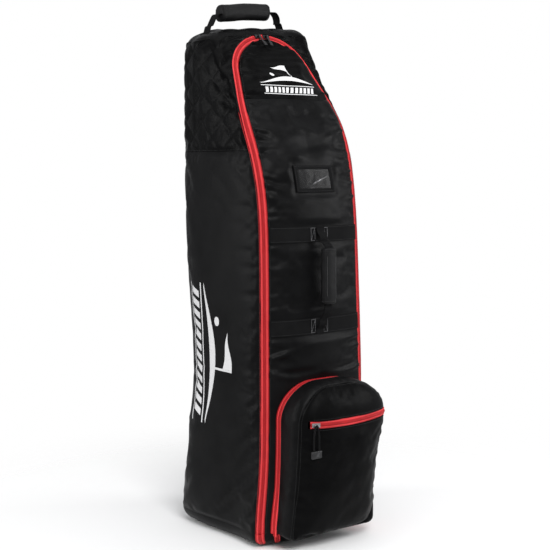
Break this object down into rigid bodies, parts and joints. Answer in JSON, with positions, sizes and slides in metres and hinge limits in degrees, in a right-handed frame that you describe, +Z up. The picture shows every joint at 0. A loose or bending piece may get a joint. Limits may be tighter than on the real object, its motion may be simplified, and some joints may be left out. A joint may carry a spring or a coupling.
{
  "type": "golf travel case",
  "caption": "Tall wheeled soft case for a golf bag, with a zip-off front, quilted hood, front shoe pocket, and carry handles on the front and top.",
  "frame": {"origin": "on the floor, under the middle of the whole case's extent, pocket and wheels included", "axes": "+Z up, the front with its zip and pocket faces -Y, the wheels are at +Y; +X is to the right of someone facing the front"},
  "size_m": [0.332, 0.502, 1.333],
  "materials": {
    "black_polyester": "satin-woven polyester over thin foam",
    "quilted_hood": "diamond-quilted, slightly glossy",
    "webbing": "ribbed polypropylene webbing",
    "red_tape": "woven zip tape with nylon coil",
    "foam": "closed-cell foam, covered",
    "black_plastic": "fine-textured moulding",
    "urethane": "cast urethane wheel tyre",
    "slider_metal": "dark nickel plated",
    "axle_steel": "plain",
    "clear_vinyl": "clear flexible vinyl",
    "card": "dark card"
  },
  "bodies": {
    "shell": {"base_tray": "black_polyester", "base_board": "black_plastic", "back_panel": "black_polyester", "left_side_panel": "black_polyester", "right_side_panel": "black_polyester", "hood_back_panel": "quilted_hood", "hood_left_panel": "quilted_hood", "hood_right_panel": "quilted_hood", "hood_crown_panel": "quilted_hood", "hood_foam_pad": "foam", "main_zip_shell_tape": "red_tape", "wheel_housing": "black_plastic", "left_axle": "axle_steel", "right_axle": "axle_steel", "top_handle_left_anchor": "webbing", "top_handle_right_anchor": "webbing", "lower_bag_strap_left": "webbing", "lower_bag_strap_right": "webbing", "upper_bag_strap_left": "webbing", "upper_bag_strap_right": "webbing", "lower_buckle_socket": "black_plastic", "upper_buckle_socket": "black_plastic"},
    "left_wheel": {"left_wheel_tyre": "urethane", "left_wheel_hub": "black_plastic", "left_wheel_bush": "axle_steel"},
    "right_wheel": {"right_wheel_tyre": "urethane", "right_wheel_hub": "black_plastic", "right_wheel_bush": "axle_steel"},
    "top_handle": {"top_handle_webbing": "webbing", "top_handle_grip": "webbing"},
    "front": {"front_lower_panel": "black_polyester", "front_upper_panel": "black_polyester", "front_upper_webbing": "webbing", "front_lower_webbing": "webbing", "id_window_frame": "webbing", "id_window_pane": "clear_vinyl", "id_card": "card", "main_zip_front_tape": "red_tape", "front_handle_upper_anchor": "webbing", "front_handle_lower_anchor": "webbing", "pocket_zip_front_tape": "red_tape"},
    "front_handle": {"front_handle_webbing": "webbing", "front_handle_grip": "webbing"},
    "main_left_slider": {"main_zip_left_slider": "slider_metal"},
    "main_left_pull": {"main_zip_left_pull": "black_plastic"},
    "main_right_slider": {"main_zip_right_slider": "slider_metal"},
    "main_right_pull": {"main_zip_right_pull": "black_plastic"},
    "pocket_cover": {"pocket_gusset": "black_polyester", "pocket_face_panel": "black_polyester", "pocket_zip_cover_tape": "red_tape", "face_zip_lower_tape": "red_tape", "face_zip_upper_tape": "red_tape"},
    "face_slider": {"face_zip_slider": "slider_metal"},
    "face_pull": {"face_zip_pull": "black_plastic"},
    "pocket_slider": {"pocket_zip_slider": "slider_metal"},
    "pocket_pull": {"pocket_zip_pull": "black_plastic"},
    "lower_clip": {"lower_buckle_clip": "black_plastic"},
    "upper_clip": {"upper_buckle_clip": "black_plastic"}
  },
  "joints": [
    {"name": "left_wheel_spin", "type": "hinge", "parent": "shell", "child": "left_wheel", "pos_m": [-0.103, 0.217, 0.038], "axis": [1, 0, 0], "continuous": true},
    {"name": "right_wheel_spin", "type": "hinge", "parent": "shell", "child": "right_wheel", "pos_m": [0.103, 0.217, 0.038], "axis": [1, 0, 0], "continuous": true},
    {"name": "top_handle_swing", "type": "hinge", "parent": "shell", "child": "top_handle", "pos_m": [0, 0.166, 1.287], "axis": [1, 0, 0], "range_deg": [-70, 70]},
    {"name": "front_fold", "type": "hinge", "parent": "shell", "child": "front", "pos_m": [0, -0.135, 0.03585], "axis": [1, 0, 0], "range_deg": [0, 80]},
    {"name": "pocket_fold", "type": "hinge", "parent": "front", "child": "pocket_cover", "pos_m": [0, -0.135, 0.0418], "axis": [1, 0, 0], "range_deg": [0, 40]},
    {"name": "front_handle_swing", "type": "hinge", "parent": "front", "child": "front_handle", "pos_m": [0, -0.15, 0.6445], "axis": [0, 0, 1], "range_deg": [-50, 50]},
    {"name": "main_left_slider_run", "type": "hinge", "parent": "front", "child": "main_left_slider", "pos_m": [0, 0.02881, 1.13924], "axis": [0, -0.8669, 0.4985], "range_deg": [0, 60]},
    {"name": "main_left_pull_lift", "type": "hinge", "parent": "main_left_slider", "child": "main_left_pull", "pos_m": [-0.01275, 0.08374, 1.24761], "axis": [-0.9945, -0.0521, -0.0906], "range_deg": [0, 100]},
    {"name": "main_right_slider_run", "type": "hinge", "parent": "front", "child": "main_right_slider", "pos_m": [0, 0.02881, 1.13924], "axis": [0, 0.8669, -0.4985], "range_deg": [0, 60]},
    {"name": "main_right_pull_lift", "type": "hinge", "parent": "main_right_slider", "child": "main_right_pull", "pos_m": [0.01275, 0.08374, 1.24761], "axis": [-0.9945, 0.0521, 0.0906], "range_deg": [0, 100]},
    {"name": "face_slider_run", "type": "hinge", "parent": "pocket_cover", "child": "face_slider", "pos_m": [0, -0.01, 0.315], "axis": [0, 0, 1], "range_deg": [0, 44]},
    {"name": "face_pull_lift", "type": "hinge", "parent": "face_slider", "child": "face_pull", "pos_m": [-0.09651, -0.23672, 0.315], "axis": [-0.9201, 0.3917, 0], "range_deg": [0, 100]},
    {"name": "pocket_slider_run", "type": "slide", "parent": "pocket_cover", "child": "pocket_slider", "axis": [0, 0, 1], "range_m": [0, 0.2]},
    {"name": "pocket_pull_lift", "type": "hinge", "parent": "pocket_slider", "child": "pocket_pull", "pos_m": [0.1314, -0.13113, 0.094], "axis": [0, -1, 0], "range_deg": [0, 100]},
    {"name": "lower_clip_pull_out", "type": "slide", "parent": "shell", "child": "lower_clip", "axis": [1, 0, 0], "range_m": [0, 0.032]},
    {"name": "upper_clip_pull_out", "type": "slide", "parent": "shell", "child": "upper_clip", "axis": [1, 0, 0], "range_m": [0, 0.032]}
  ]
}
